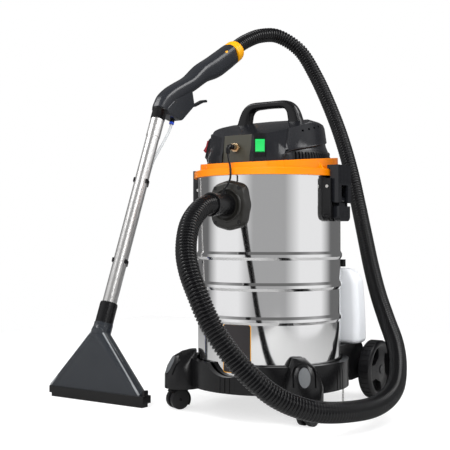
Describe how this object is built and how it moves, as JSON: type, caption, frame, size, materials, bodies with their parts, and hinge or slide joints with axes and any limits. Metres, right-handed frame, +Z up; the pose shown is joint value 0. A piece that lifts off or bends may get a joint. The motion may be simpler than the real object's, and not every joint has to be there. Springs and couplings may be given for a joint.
{
  "type": "spot extractor",
  "caption": "Upright wet extraction machine: steel tank with latched motor head on a wheeled base, solution bottle, ribbed hose and a steel spray wand with a flat nozzle.",
  "frame": {"origin": "on the floor under the vertical axis of the round tank", "axes": "+Z up; -Y is the front with the hose inlet and the control panel; +Y is the back with the bottle, the blower port and the rear wheels; the wand stands at -X"},
  "size_m": [0.8377, 1.0797, 1.0093],
  "materials": {
    "tank_steel": "polished",
    "orange_plastic": "glossy",
    "black_plastic": "satin",
    "charcoal_plastic": "satin",
    "olive_panel": "matte",
    "hose_plastic": "satin",
    "green_plastic": "glossy",
    "red_plastic": "glossy",
    "blue_plastic": "glossy",
    "amber_plastic": "glossy",
    "smoky_plastic": "clear",
    "clear_plastic": "clear",
    "white_plastic": "translucent",
    "wand_steel": "polished",
    "zinc_steel": "plated",
    "coupling_brass": "turned",
    "seal_rubber": "matte",
    "wheel_plastic": "satin",
    "motor_metal": "satin",
    "fan_aluminium": "satin",
    "grey_inlay": "matte",
    "filter_foam": "open-cell",
    "float_plastic": "satin"
  },
  "bodies": {
    "machine": {"tank_shell": "tank_steel", "lid_seal": "seal_rubber", "inlet_flange": "black_plastic", "inlet_deflector": "black_plastic", "hose_cuff": "black_plastic", "suction_hose": "hose_plastic", "solution_lead": "hose_plastic", "lead_plug": "black_plastic", "quick_coupling": "coupling_brass", "lid_rim": "orange_plastic", "motor_cover": "charcoal_plastic", "control_panel": "olive_panel", "carry_handle": "black_plastic", "switch_frames": "black_plastic", "exhaust_grilles": "black_plastic", "blower_port": "black_plastic", "cord_gland": "black_plastic", "motor": "motor_metal", "solution_pump": "motor_metal", "float_cage": "black_plastic", "foam_filter": "filter_foam", "latch_bracket_left": "black_plastic", "latch_bracket_right": "black_plastic", "latch_pins": "zinc_steel", "base_dolly": "black_plastic", "pod_inlays": "grey_inlay", "pan_screws": "zinc_steel", "drag_chain": "zinc_steel", "rear_axle": "zinc_steel", "axle_caps": "charcoal_plastic", "solution_bottle": "white_plastic", "bottle_bracket": "black_plastic", "hose_collar": "amber_plastic", "handle_shell_left": "charcoal_plastic", "handle_shell_right": "charcoal_plastic", "trigger_pin": "zinc_steel", "spray_valve": "blue_plastic", "wand_tube": "wand_steel", "wand_clips": "black_plastic", "spray_tube": "clear_plastic", "nozzle_cuff": "black_plastic", "nozzle_body": "smoky_plastic", "nozzle_lip": "black_plastic", "spray_jet": "blue_plastic"},
    "caster_left": {"caster_housing_left": "black_plastic"},
    "caster_right": {"caster_housing_right": "black_plastic"},
    "twin_wheels_left": {"caster_wheels_left": "wheel_plastic"},
    "twin_wheels_right": {"caster_wheels_right": "wheel_plastic"},
    "wheel_left": {"rear_wheel_left": "wheel_plastic"},
    "wheel_right": {"rear_wheel_right": "wheel_plastic"},
    "lever_left": {"latch_lever_left": "charcoal_plastic"},
    "lever_right": {"latch_lever_right": "charcoal_plastic"},
    "hook_left": {"latch_hook_left": "charcoal_plastic"},
    "hook_right": {"latch_hook_right": "charcoal_plastic"},
    "power_rocker": {"power_switch": "red_plastic"},
    "pump_rocker": {"pump_switch": "green_plastic"},
    "trigger_lever": {"trigger": "charcoal_plastic"},
    "float": {"float_ball": "float_plastic"},
    "rotor": {"fan": "fan_aluminium"},
    "cap": {"filler_cap": "black_plastic"}
  },
  "joints": [
    {"name": "caster_left_swivel", "type": "hinge", "parent": "machine", "child": "caster_left", "pos_m": [-0.165, -0.105, 0.06], "axis": [0, 0, 1], "continuous": true},
    {"name": "caster_right_swivel", "type": "hinge", "parent": "machine", "child": "caster_right", "pos_m": [0.165, -0.105, 0.06], "axis": [0, 0, 1], "continuous": true},
    {"name": "caster_left_roll", "type": "hinge", "parent": "caster_left", "child": "twin_wheels_left", "pos_m": [-0.17026, -0.11579, 0.022], "axis": [0.8988, -0.4384, 0], "continuous": true},
    {"name": "caster_right_roll", "type": "hinge", "parent": "caster_right", "child": "twin_wheels_right", "pos_m": [0.16416, -0.11697, 0.022], "axis": [0.9976, -0.0698, 0], "continuous": true},
    {"name": "wheel_left_roll", "type": "hinge", "parent": "machine", "child": "wheel_left", "pos_m": [-0.142, 0.26, 0.069], "axis": [1, 0, 0], "continuous": true},
    {"name": "wheel_right_roll", "type": "hinge", "parent": "machine", "child": "wheel_right", "pos_m": [0.142, 0.26, 0.069], "axis": [1, 0, 0], "continuous": true},
    {"name": "lever_right_pull", "type": "hinge", "parent": "machine", "child": "lever_right", "pos_m": [0.168, 0, 0.494], "axis": [0, -1, 0], "range_deg": [0, 55]},
    {"name": "lever_left_pull", "type": "hinge", "parent": "machine", "child": "lever_left", "pos_m": [-0.168, 0, 0.494], "axis": [0, 1, 0], "range_deg": [0, 55]},
    {"name": "hook_right_swing", "type": "hinge", "parent": "lever_right", "child": "hook_right", "pos_m": [0.177, 0, 0.467], "axis": [0, -1, 0], "range_deg": [-55, 0]},
    {"name": "hook_left_swing", "type": "hinge", "parent": "lever_left", "child": "hook_left", "pos_m": [-0.177, 0, 0.467], "axis": [0, 1, 0], "range_deg": [-55, 0]},
    {"name": "power_rock", "type": "hinge", "parent": "machine", "child": "power_rocker", "pos_m": [-0.11659, -0.07006, 0.58879], "axis": [0.515, -0.8572, 0], "range_deg": [0, 14]},
    {"name": "pump_rock", "type": "hinge", "parent": "machine", "child": "pump_rocker", "pos_m": [0.05006, -0.11986, 0.57936], "axis": [0.832, 0.5548, 0], "range_deg": [-14, 0]},
    {"name": "trigger_pull", "type": "hinge", "parent": "machine", "child": "trigger_lever", "pos_m": [-0.375, 0.184, 0.735], "axis": [1, 0, 0], "range_deg": [0, 12], "stiffness_Nm_per_rad": 0.5, "springref_deg": -11.46},
    {"name": "float_rise", "type": "slide", "parent": "machine", "child": "float", "axis": [0, 0, 1], "range_m": [0, 0.025]},
    {"name": "fan_spin", "type": "hinge", "parent": "machine", "child": "rotor", "pos_m": [0, 0, 0.56], "axis": [0, 0, 1], "continuous": true},
    {"name": "cap_turn", "type": "hinge", "parent": "machine", "child": "cap", "pos_m": [0, 0.2, 0.32], "axis": [0, 0, 1], "range_deg": [0, 360]}
  ],
  "couplings": [
    {"joint": "hook_right_swing", "follows": "lever_right_pull", "ratio": -1},
    {"joint": "hook_left_swing", "follows": "lever_left_pull", "ratio": -1}
  ]
}
